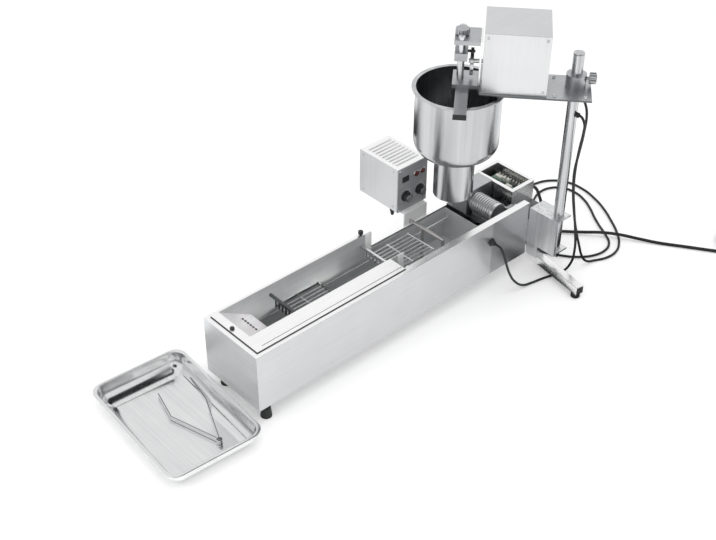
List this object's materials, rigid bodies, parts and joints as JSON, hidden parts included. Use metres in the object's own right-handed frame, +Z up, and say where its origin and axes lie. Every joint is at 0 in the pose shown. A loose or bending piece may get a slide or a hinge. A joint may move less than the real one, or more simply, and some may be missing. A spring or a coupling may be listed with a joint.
{
  "type": "donut fryer",
  "caption": "Countertop donut fryer: long oil trough with flippers, dough hopper and motor head swinging on a rear post, side control box, receiving tray and tongs.",
  "frame": {"origin": "middle of the machine's footprint, tray included, on the table surface", "axes": "+X along the trough from the tray end to the drive end, +Y to the control box side, +Z up"},
  "size_m": [1.6145, 0.7459, 0.665],
  "materials": {
    "satin_steel": "satin stainless sheet, fine lengthwise grain",
    "polished_steel": "spun and polished stainless steel",
    "bright_rod": "drawn bright stainless bar and wire",
    "machined_alloy": "machined alloy, fine tool marks",
    "box_steel": "pale satin stainless box",
    "dark_panel": "dark grey satin panel",
    "motor_grey": "grey painted ribbed casting",
    "heater_tube": "heat-tinted sheathed element",
    "bronze": "sintered bronze bush",
    "black_plastic": "moulded black plastic",
    "black_rubber": "moulded black rubber",
    "cable_jacket": "black extruded cable jacket",
    "white_plastic": "turned white food-grade plastic",
    "lamp_red": "clear red lamp lens"
  },
  "bodies": {
    "base": {"trough": "satin_steel", "oil_pan": "satin_steel", "pan_pads": "satin_steel", "front_frame": "satin_steel", "flipper_bushes": "bronze", "lane_rails": "bright_rod", "drive_shelf": "satin_steel", "crank_bearing": "machined_alloy", "drive_motor": "motor_grey", "gearbox": "machined_alloy", "terminal_case": "satin_steel", "speed_controller": "black_plastic", "foot_pads": "black_rubber", "foot_stems": "bright_rod", "rear_bracket": "satin_steel", "outrigger": "satin_steel", "outrigger_pad": "black_rubber", "outrigger_saddle": "satin_steel", "post": "bright_rod", "post_cap": "black_plastic", "control_box": "box_steel", "control_panel": "dark_panel", "control_bracket": "satin_steel", "panel_lamps": "lamp_red", "heater": "heater_tube", "glands": "black_plastic", "head_lead": "cable_jacket", "side_lead": "cable_jacket", "rear_lead": "cable_jacket", "mains_lead": "cable_jacket", "mains_coil": "cable_jacket", "mains_plug": "black_plastic"},
    "head": {"arm_plate": "satin_steel", "arm_collars": "machined_alloy", "motor_box": "box_steel", "head_motor": "motor_grey", "guide_tower": "satin_steel", "guide_blocks": "machined_alloy", "guide_rods": "bright_rod", "hopper": "polished_steel", "rim_clamps": "machined_alloy", "dough_former": "white_plastic", "rim_hook": "polished_steel"},
    "clamp": {"clamp_knob": "black_plastic"},
    "cam": {"dosing_cam": "bright_rod"},
    "plunger": {"crosshead": "machined_alloy", "cam_roller": "black_plastic", "plunger_rod": "bright_rod", "piston": "white_plastic"},
    "portion_setter": {"portion_knob": "machined_alloy"},
    "crank": {"drive_crank": "bright_rod"},
    "exit_turner": {"exit_flipper": "bright_rod"},
    "lane_turner": {"turn_flipper": "bright_rod"},
    "coupler": {"coupler_bar": "bright_rod"},
    "tray": {"tray": "polished_steel", "tong_fixed": "polished_steel"},
    "tong": {"tong_moving": "polished_steel"},
    "heat_dial": {"temperature_knob": "black_plastic"},
    "speed_dial": {"speed_knob": "black_plastic"},
    "power_key": {"power_switch": "black_plastic"}
  },
  "joints": [
    {"name": "arm_swing", "type": "hinge", "parent": "base", "child": "head", "pos_m": [0.52558, -0.14096, 0.52], "axis": [0, 0, 1], "range_deg": [0, 40]},
    {"name": "clamp_turn", "type": "hinge", "parent": "head", "child": "clamp", "pos_m": [0.52558, -0.14096, 0.542], "axis": [0.6561, -0.7547, 0], "continuous": true},
    {"name": "cam_turn", "type": "hinge", "parent": "head", "child": "cam", "pos_m": [0.34365, 0.0348, 0.58], "axis": [-0.6561, 0.7547, 0], "range_deg": [0, 170]},
    {"name": "plunger_lift", "type": "slide", "parent": "head", "child": "plunger", "axis": [0, 0, 1], "range_m": [0, 0.0188]},
    {"name": "portion_turn", "type": "hinge", "parent": "plunger", "child": "portion_setter", "pos_m": [0.34365, 0.0348, 0.648], "axis": [0, 0, 1], "continuous": true},
    {"name": "crank_swing", "type": "hinge", "parent": "base", "child": "crank", "pos_m": [0.46758, -0.04496, 0.165], "axis": [0, -1, 0], "range_deg": [0, 126]},
    {"name": "exit_swing", "type": "hinge", "parent": "base", "child": "exit_turner", "pos_m": [-0.16042, -0.04496, 0.165], "axis": [0, -1, 0], "range_deg": [0, 126]},
    {"name": "lane_swing", "type": "hinge", "parent": "base", "child": "lane_turner", "pos_m": [0.10758, -0.04496, 0.165], "axis": [0, -1, 0], "range_deg": [0, 126]},
    {"name": "coupler_swing", "type": "hinge", "parent": "crank", "child": "coupler", "pos_m": [0.48183, -0.04996, 0.17226], "axis": [0, -1, 0], "range_deg": [-126, 0]},
    {"name": "tray_slide", "type": "slide", "parent": "base", "child": "tray", "axis": [-1, 0, 0], "range_m": [0, 0.25]},
    {"name": "tong_close", "type": "hinge", "parent": "tray", "child": "tong", "pos_m": [-0.42442, -0.05596, 0.008], "axis": [0, 0, 1], "range_deg": [0, 20]},
    {"name": "heat_turn", "type": "hinge", "parent": "base", "child": "heat_dial", "pos_m": [0.26958, 0.10904, 0.219], "axis": [0, -1, 0], "range_deg": [0, 270]},
    {"name": "speed_turn", "type": "hinge", "parent": "base", "child": "speed_dial", "pos_m": [0.31558, 0.10904, 0.219], "axis": [0, -1, 0], "range_deg": [0, 270]},
    {"name": "power_push", "type": "slide", "parent": "base", "child": "power_key", "axis": [0, 1, 0], "range_m": [0, 0.002], "stiffness_N_per_m": 400}
  ],
  "couplings": [
    {"joint": "cam_turn", "follows": "plunger_lift", "rad_per_m": 157.08},
    {"joint": "exit_swing", "follows": "crank_swing", "ratio": 1},
    {"joint": "lane_swing", "follows": "crank_swing", "ratio": 1},
    {"joint": "coupler_swing", "follows": "crank_swing", "ratio": -1}
  ]
}
